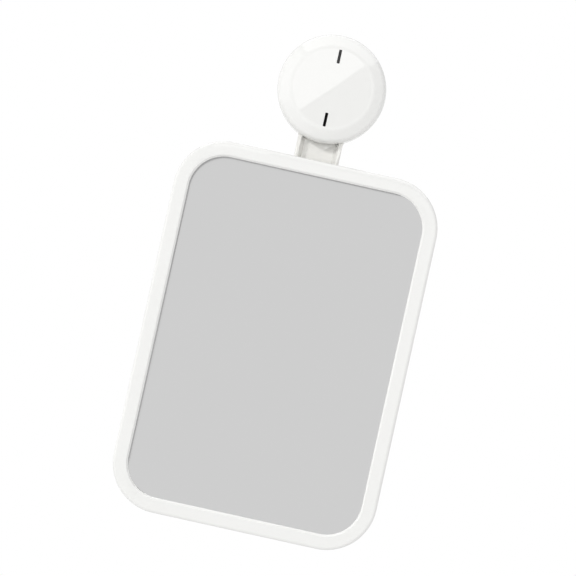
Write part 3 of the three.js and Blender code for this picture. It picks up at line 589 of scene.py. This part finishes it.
def softened(name, bm, node, body, slot, material, width):
    piece = finish_piece(name, bm, body, slot, material, node)
    bevel = piece.modifiers.new("moulded edge", "BEVEL")
    bevel.width, bevel.segments = width * MM, 3
    bevel.limit_method, bevel.angle_limit = "ANGLE", EDGE_ANGLE
    bevel.use_clamp_overlap, bevel.harden_normals = True, True


for name, node, body, slot, material, width in (
        ("rear_cover", "back_shell", "mirror", "white_housing", polished_abs, 0.3),
        ("tilt_bracket", "hinge_bracket", "mirror", "inner_plastic", satin_acetal, 0.4),
        ("tilt_nut", "hinge_nut", "mount", "steel", plated_steel, 0.25)):
    softened(name, copied(node), node, body, slot, material, width)

# %% [markdown]
# The arm's two rails are the one place where a few tenths aren't enough: in the photograph they
# are ridges, with a well rounded outer side and an inner side that leans down to the channel's
# floor. So the copy's inner walls lean over first. They stand upright again just behind the mirror's
# frame, where nobody sees the change, and two cuts across the arm give the lean its end.

# %% Lean the rails' inner walls
RAIL_INNER, RAIL_OUTER, RAIL_FRONT, CHANNEL_FLOOR, RAIL_TOP = 13.2, 16.7, 20.0, 15.0, -36.0
LEAN_FOOT, LEAN_CREST, LEAN_END, LEAN_FADE = 11.3, 14.0, -56.0, 4.0
SAME = 0.01


def beside(v, side, out):
    right, inwards, up = v.co / MM
    return abs(-inwards - out) < SAME and abs(abs(right) - side) < SAME and up < RAIL_TOP


arm = copied("arm_housing")
for up in (LEAN_END, LEAN_END - LEAN_FADE):
    bmesh.ops.bisect_plane(arm, geom=arm.verts[:] + arm.edges[:] + arm.faces[:],
                           plane_co=place(0, up, 0), plane_no=(0, 0, 1))
for out, side in ((CHANNEL_FLOOR, LEAN_FOOT), (RAIL_FRONT, LEAN_CREST)):
    corners = [v for v in arm.verts
               if beside(v, RAIL_INNER, out) and v.co.z / MM > LEAN_END - SAME]
    for v in corners:
        v.co.x = math.copysign(side * MM, v.co.x)
    print(f"{len(corners)} corners {out} mm out of the wall now stand {side} mm from the middle")

# %% [markdown]
# The leaning walls leave three kinds of edge along the rails, and each gets its own round: a wide
# one on the outer side, a small one on the crest, and a hollow one at the foot. The bevel of the
# whole arm comes after them.

# %% Round the rails
ROUND_STEPS = 6

for side, out, size in ((LEAN_CREST, RAIL_FRONT, 0.4), (RAIL_OUTER, RAIL_FRONT, 2.2),
                        (LEAN_FOOT, CHANNEL_FLOOR, 1.0)):
    edges = [e for e in arm.edges if all(beside(v, side, out) for v in e.verts)]
    print(f"{len(edges)} edges {side} mm from the middle, {out} mm out, get a round of {size} mm")
    bmesh.ops.bevel(arm, geom=edges, offset=size * MM, segments=ROUND_STEPS, profile=0.5,
                    affect="EDGES", clamp_overlap=False)
# the arm gets the lighter ABS, whose colour paints the shade in its channel lighter
softened("arm_and_cup", arm, "arm_housing", "mount", "white_housing", shade_lightened_abs, 0.3)

# %% [markdown]
# ## The suction disc
# The disc lies flat on the wall inside the cup and is soft: its rim stays with the mount while the
# post pulls its middle forward. It is turned with a thin rounded lip and a boss that holds the
# post's flange, and is attached to neither body.

# %% Turn the disc
DISC_RADIUS, LAND_RADIUS, LAND_HEIGHT = 38.0, 33.0, 1.6
BOSS_FOOT, BOSS_FOOT_HEIGHT, BOSS_RADIUS, BOSS_HEIGHT = 12.3, 2.9, 12.0, 5.2
POST_HOLE, FLANGE_RADIUS, FLANGE_REAR, FLANGE_FRONT = 5.1, 9.3, 1.7, 4.2

disc_outline = rounded([
    (0, 0, 0),
    (DISC_RADIUS, 0, 0.25),
    (DISC_RADIUS, LAND_HEIGHT, 0.7),
    (LAND_RADIUS, LAND_HEIGHT, 1.0),
    (BOSS_FOOT, BOSS_FOOT_HEIGHT, 1.0),
    (BOSS_RADIUS, BOSS_HEIGHT, 0.6),
    (POST_HOLE, BOSS_HEIGHT, 0.3),
    (POST_HOLE, FLANGE_FRONT, 0),
    (FLANGE_RADIUS, FLANGE_FRONT, 0),
    (FLANGE_RADIUS, FLANGE_REAR, 0),
    (0, FLANGE_REAR, 0),
])
disc = finish_piece("soft_disc", turned(disc_outline, DISC_STEPS), None, "disc", clear_pvc,
                    "suction_disc")
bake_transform(disc)

# %% [markdown]
# ## The foam pad
# A sheet of foam between the glass and the rear cover takes up the slack, so that the glass doesn't
# rattle. It is cut from a sheet, so it is flat with square edges that the cutter pressed a little.
# The function that carried the frame's section round also carries the pad's edge, and two flat faces
# close it.

# %% Lay the foam pad
PAD_INSET, PAD_REAR, PAD_FRONT, PAD_EDGE, PAD_MARGIN = 10.5, 28.7, 29.7, 0.4, 3

pad_edge = rounded([(PAD_INSET + PAD_MARGIN, PAD_REAR, 0), (PAD_INSET, PAD_REAR, PAD_EDGE),
                    (PAD_INSET, PAD_FRONT, PAD_EDGE), (PAD_INSET + PAD_MARGIN, PAD_FRONT, 0)])
pad = finish_piece("foam_pad", carried(pad_edge, filled=True), "mirror", "foam", grey_foam,
                   "backing_pad")

# %% [markdown]
# ## Threads
# Screws and bolts share one form: a head, a thread and a point. The thread is a ridge that climbs by
# one pitch a turn, so it is drawn as a height on a grid of the shank: the further a point is from
# the ridge, the lower it lies, and FLANK says how steeply it falls. That gives a true screw thread
# without a cut. In the list of points, those of the thread have no radius of their own, because it
# changes round the turn.

# %% Turn a shape with a thread
THREAD_ROWS, THREAD_SIDES, FLANK = 8, 24, 2.4


def threaded(head, start, end, radius, pitch, depth, point):
    rows = round((end - start) / pitch * THREAD_ROWS)
    thread = [(None, start + (end - start) * k / rows) for k in range(rows + 1)]
    bm = bmesh.new()
    rings = []
    for r, along in [*head, *thread, *point]:
        ring = []
        for turn in [k / THREAD_SIDES for k in range(1 if r == 0 else THREAD_SIDES)]:
            away = (along / pitch - turn) % 1
            here = radius - depth * min(1, FLANK * min(away, 1 - away)) if r is None else r
            ring.append(bm.verts.new(place(here * math.cos(math.tau * turn),
                                           here * math.sin(math.tau * turn), along)))
        rings.append(ring)
    for ring, other in zip(rings, rings[1:]):
        join_rings(bm, ring, other, THREAD_SIDES)
    return bm


print(f"each turn of a thread has {THREAD_ROWS} rows of {THREAD_SIDES} points")

# %% [markdown]
# ## Screws
# Eight small screws hold the rear cover to the frame and four hold the hinge bracket. They are
# thread-forming screws for plastic, with a countersunk head and a cross recess that two blades cut.
# Their heads face the wall and lie flush in the plastic. Each is made at the origin, where the
# blades are easy to place, and then moved into the box of the screw that it replaces.

# %% Set the screws
HEAD_HEIGHT, HEAD_EDGE, NECK_RADIUS, NECK_LENGTH = 1.2, 0.1, 0.88, 0.3
SHANK_RADIUS, SCREW_PITCH, SCREW_DEPTH, TIP_RADIUS, TIP_STEP = 1.1, 1.1, 0.3, 0.55, 0.44
RECESS_LENGTH, RECESS_WIDTH, RECESS_DEPTH = 2.4, 0.6, 0.8

for node in sorted(n for n in frame["nodes"] if n.startswith(("frame_screw", "bracket_screw"))):
    low, high = (Vector(corner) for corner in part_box(node))
    radius, length = (high.x - low.x) / 2 / MM, (high.y - low.y) / MM
    head = [(0, 0), (radius - HEAD_EDGE, 0), (radius, HEAD_EDGE), (NECK_RADIUS, HEAD_HEIGHT)]
    tip = length - SHANK_RADIUS
    point = [(TIP_RADIUS, tip + TIP_STEP), (0, length)]
    bm = threaded(head, HEAD_HEIGHT + NECK_LENGTH, tip, SHANK_RADIUS, SCREW_PITCH, SCREW_DEPTH,
                  point)
    screw = finish_piece("threaded_" + node, bm, "mirror", "steel", plated_steel, node)
    for x, y in ((RECESS_LENGTH / 2, RECESS_WIDTH / 2), (RECESS_WIDTH / 2, RECESS_LENGTH / 2)):
        cut(screw, block("blade", (-x, -y, -1), (x, y, RECESS_DEPTH)))
    middle = Vector(((low.x + high.x) / 2, high.y, (low.z + high.z) / 2))
    screw.data.transform(Matrix.Translation(middle))

# %% [markdown]
# ## The tilt bolt
# The tilt axis is a 5 mm bolt with a button head and a hexagon socket. Its shank is plain where the
# friction washers turn on it, and threaded where the nut sits. It is turned as the screws are, gets
# its socket from a six-sided tool, and is then laid along the hinge.

# %% Turn the bolt and cut its socket
BUTTON_RADIUS, BUTTON_HEIGHT, BUTTON_STEPS = 4.5, 2.8, 8
BOLT_RADIUS, BOLT_PITCH, BOLT_DEPTH, BOLT_THREAD = 2.5, 0.8, 0.4, 11.0
POINT_LENGTH, POINT_RADIUS, END_RADIUS = 0.4, 2.0, 1.75
SOCKET_ACROSS, SOCKET_DEPTH = 3.0, 1.6


def hexagon(across, length):
    bm = bmesh.new()
    radius = across / math.sqrt(3) * MM
    bmesh.ops.create_cone(bm, cap_ends=True, segments=6, radius1=radius, radius2=radius,
                          depth=length * MM)
    return as_object("hexagon", bm)


low, high = (Vector(corner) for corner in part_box("hinge_bolt"))
length = (high.x - low.x) / MM
quarter = [math.pi / 2 * k / BUTTON_STEPS for k in range(1, BUTTON_STEPS + 1)]
dome = [(BUTTON_RADIUS * math.sin(a), BUTTON_HEIGHT * (1 - math.cos(a))) for a in quarter]
head = [(0, 0), *dome, (BOLT_RADIUS, BUTTON_HEIGHT), (BOLT_RADIUS, length - BOLT_THREAD)]
point = [(POINT_RADIUS, length - POINT_LENGTH / 2), (END_RADIUS, length), (0, length)]
bm = threaded(head, length - BOLT_THREAD + POINT_LENGTH / 2, length - POINT_LENGTH, BOLT_RADIUS,
              BOLT_PITCH, BOLT_DEPTH, point)
bolt = finish_piece("tilt_bolt", bm, "mount", "steel", plated_steel, "hinge_bolt")
socket = hexagon(SOCKET_ACROSS, 2 * SOCKET_DEPTH)
socket.data.transform(Matrix.Rotation(math.pi / 2, 4, "X"))
cut(bolt, socket)
bolt.data.transform(Matrix.Translation((low.x, (low.y + high.y) / 2, (low.z + high.z) / 2))
                    @ Matrix.Rotation(math.pi / 2, 4, "Z"))

# %% [markdown]
# ## Studio
# The photograph is lit by a lamp from the upper left, whose shadows fall into the arm's channel, by
# a large soft light from the front, and by pale walls all round, on a plain white ground. The walls
# are the world: plain white for what the camera and the gloss see, and a lower level for the light
# that falls on the object.

# %% Light the walls
WALLS = 0.63


def looked_at(tree):
    path = add(tree, "ShaderNodeLightPath")
    seen = path.outputs["Is Camera Ray"]
    for also in ("Is Glossy Ray", "Is Transmission Ray"):
        larger = add(tree, "ShaderNodeMath", {0: seen, 1: path.outputs[also]}, operation="MAXIMUM")
        seen = larger.outputs[0]
    return seen


world = bpy.data.worlds.new("pale studio")
bpy.context.scene.world = world
world.use_nodes = True
tree = world.node_tree
tree.nodes.clear()
level = add(tree, "ShaderNodeMapRange", {"Value": looked_at(tree), "To Min": WALLS,
                                         "To Max": 1.0})
ground = add(tree, "ShaderNodeBackground", {"Color": (1, 1, 1, 1), "Strength": level.outputs[0]})
add(tree, "ShaderNodeOutputWorld", {"Surface": ground.outputs[0]})
print(f"a surface that faces the camera gets a level of {WALLS} from the walls")

# %% [markdown]
# The key lamp and the two fills are suns. Area lamps would do as well, but suns light every size of
# object alike, and their share on a surface that faces the camera is easy to work out: with the
# walls it comes to a level of about one. The fills are too wide to throw a shadow with an edge, and
# stay out of reflections, where the cards below take their place.

# %% Hang the lamps
KEY, FRONT_FILL, BACK_FILL = 0.15, 0.21, 0.25
KEY_FROM = (-1.25, -1.0, 0.62)


def sun(name, towards, share, width, shows):
    towards = Vector(towards).normalized()
    lamp = bpy.data.objects.new(name, bpy.data.lights.new(name, "SUN"))
    bpy.context.scene.collection.objects.link(lamp)
    lamp.rotation_euler = towards.to_track_quat("Z", "Y").to_euler()
    lamp.data.energy = share * math.pi / abs(towards.y)
    lamp.data.angle = math.radians(width)
    lamp.visible_glossy = shows
    off = math.degrees(math.acos(abs(towards.y)))
    print(f"{name}: {lamp.data.energy:.2f} W/m2, {off:.0f} degrees off the wall's normal")


sun("key", KEY_FROM, KEY, width=5, shows=True)
sun("front_fill", (0, -1, 0), FRONT_FILL, width=40, shows=False)
sun("back_fill", (0, 1, 0.2), BACK_FILL, width=100, shows=False)

# %% [markdown]
# ## Cards
# Light leaves a mirror at the angle at which it came, so every point of a flat front shows one point
# of a plane behind the camera, 2.64 times as far from the camera's line. Photographers hang cards
# there to choose what a mirror or a glossy face shows. These cards show only in reflections, so they
# neither light the object nor throw a shadow.

# %% Find what a flat front shows, and hang a card there
CARD_OUT, CARD_GAP = 2500.0, 10.0


def reflected(x, y, out):
    reach = (CARD_OUT - out) / (CAMERA_DISTANCE + FRONT_PLANE - out)
    return x + x * reach, y + (y - AIM_HEIGHT) * reach


def hang(name, corners, strength):
    bm = bmesh.new()
    bm.faces.new([bm.verts.new(place(*corner)) for corner in corners])
    card = as_object(name, bm)
    bpy.context.scene.collection.objects.link(card)
    card.visible_camera = card.visible_diffuse = False
    card.visible_shadow = card.visible_transmission = False
    paper = bpy.data.materials.new(name)
    paper.use_nodes = True
    tree = paper.node_tree
    tree.nodes.clear()
    glow = add(tree, "ShaderNodeEmission", {"Color": (1, 1, 1, 1), "Strength": strength})
    add(tree, "ShaderNodeOutputMaterial", {"Surface": glow.outputs[0]})
    card.data.materials.append(paper)
    print(f"{name} has {len(corners)} corners and a level of {strength}")


shown = [round(v) for v in reflected(0, MIRROR_MIDDLE, FRAME_FRONT)]
print(f"the mirror's middle shows the place {shown} mm of the plane {CARD_OUT:.0f} mm off the wall")

# %% [markdown]
# The glass shows an even grey card. The card's left and upper edge falls just inside the frame's
# lip, and a darker card behind it shows past that edge as the thin dark line that the photograph has
# there. The darker card is hardly larger, so that it doesn't dull the frame's own sides.

# %% Hang the glass's cards
GLASS_FRONT, LINE_WIDTH, DARK_MARGIN = 32.9, 1.1, 2.5
GREY_LEVEL, DARK_LEVEL = 0.834, 0.45

corner = FRAME_CORNER - LIP_INSET
right, low = FRAME_WIDTH / 2, MIRROR_MIDDLE - FRAME_HEIGHT / 2
left = LIP_INSET + LINE_WIDTH - FRAME_WIDTH / 2
high = MIRROR_MIDDLE + FRAME_HEIGHT / 2 - LIP_INSET - LINE_WIDTH
grey = rounded([(left, low, corner), (right, low, 0), (right, high, corner),
                (left, high, corner)], steps=24)
hang("grey_card", [(*reflected(*point, GLASS_FRONT), CARD_OUT - CARD_GAP) for point in grey],
     GREY_LEVEL)
left, high = left - DARK_MARGIN, high + DARK_MARGIN
dark = [(left, low), (right, low), (right, high), (left, high)]
hang("dark_edge", [(*reflected(*point, GLASS_FRONT), CARD_OUT) for point in dark], DARK_LEVEL)

# %% [markdown]
# The knob's face shows a bright and a dark panel that share a slanting edge through its middle. Both
# end above the place that the arm's channel would show. Two large panels, far to the left and above,
# give the frame's left and upper sides their bright line.

# %% Hang the knob's and the sides' cards
KNOB_CARD_FOOT, CARD_REACH, SLANT = 140.0, 420.0, math.radians(46.5)
SIDE_AWAY, SIDE_REACH = 2600.0, 2400.0
BRIGHT_LEVEL, DIM_LEVEL, LEFT_LEVEL, UPPER_LEVEL = 2.05, 0.1, 1.5, 2.4

knob_seen = reflected(0, 0, KNOB_FRONT)[1]
slope = math.tan(SLANT)
low_end = ((KNOB_CARD_FOOT - knob_seen) / slope, KNOB_CARD_FOOT, CARD_OUT)
high_end = (CARD_REACH, knob_seen + CARD_REACH * slope, CARD_OUT)
print(f"the knob's middle shows what hangs {knob_seen:.0f} mm above the knob's axis")
hang("bright_panel", [low_end, high_end, (-CARD_REACH, *high_end[1:]),
                      (-CARD_REACH, *low_end[1:])], BRIGHT_LEVEL)
hang("dark_panel", [low_end, (CARD_REACH, *low_end[1:]), high_end], DIM_LEVEL)
around = [(-SIDE_REACH, -SIDE_REACH), (SIDE_REACH, -SIDE_REACH), (SIDE_REACH, SIDE_REACH),
          (-SIDE_REACH, SIDE_REACH)]
hang("left_panel", [(-SIDE_AWAY, up, out) for up, out in around], LEFT_LEVEL)
hang("upper_panel", [(right, SIDE_AWAY, out) for right, out in around], UPPER_LEVEL)

# %% [markdown]
# ## Floor
# A pale floor lies well below the object. The camera of the photograph doesn't see it, but it
# catches the object's shadow in views from above. Towards its edge it passes into the white ground,
# for the camera and in reflections alike, so that no horizon shows. Its sizes are in metres.

# %% Lay the floor
FLOOR_DROP, FLOOR_RADIUS, FADE_START, FADE_END = 0.9, 3.0, 0.8, 2.8

bpy.ops.mesh.primitive_circle_add(vertices=96, radius=FLOOR_RADIUS, fill_type="NGON",
                                  location=(0, 0, -FLOOR_DROP))
floor = bpy.context.object
floor.name = "floor"
pale = bpy.data.materials.new("pale_floor")
pale.use_nodes = True
tree = pale.node_tree
tree.nodes.clear()
spot = add(tree, "ShaderNodeTexCoord").outputs["Object"]
away = add(tree, "ShaderNodeVectorMath", {"Vector": spot}, operation="LENGTH").outputs["Value"]
fade = add(tree, "ShaderNodeMapRange", {"Value": away, "From Min": FADE_START,
                                        "From Max": FADE_END})
share = add(tree, "ShaderNodeMath", {0: fade.outputs[0], 1: looked_at(tree)}, operation="MULTIPLY")
matt = add(tree, "ShaderNodeBsdfDiffuse", {"Color": linear("#f6f6f6")})
glow = add(tree, "ShaderNodeEmission", {"Strength": 1.0})
mix = add(tree, "ShaderNodeMixShader", {"Fac": share.outputs[0], 1: matt.outputs[0],
                                        2: glow.outputs[0]})
add(tree, "ShaderNodeOutputMaterial", {"Surface": mix.outputs[0]})
floor.data.materials.append(pale)
print(f"the floor lies {FLOOR_DROP} m below the knob's axis")

# %% [markdown]
# ## What stays as engineered
# The glass, the washers, the pin and the pieces inside the mount keep their engineered shape,
# because nothing about them asks for more, and only get their finish.

# %% Give the carried-over pieces their finish
FINISH = {"inner_plastic": satin_acetal, "steel": plated_steel, "friction_washer": black_nylon,
          "mirror": mirror_silver}
slots = {n["node"]: n["material_slot"] for n in frame["record"]["subparts"]}
kept = [name for name, node in frame["nodes"].items() if not node.hide_render]
for name in kept:
    for slot in frame["nodes"][name].material_slots:
        slot.material = FINISH[slots[name]]
print("carried over:", ", ".join(sorted(kept)))

# %% [markdown]
# ## View of colours
# Last comes the plain view of colours, in which a colour renders about as it is written.

# %% Settings
bpy.context.scene.view_settings.view_transform = "Standard"
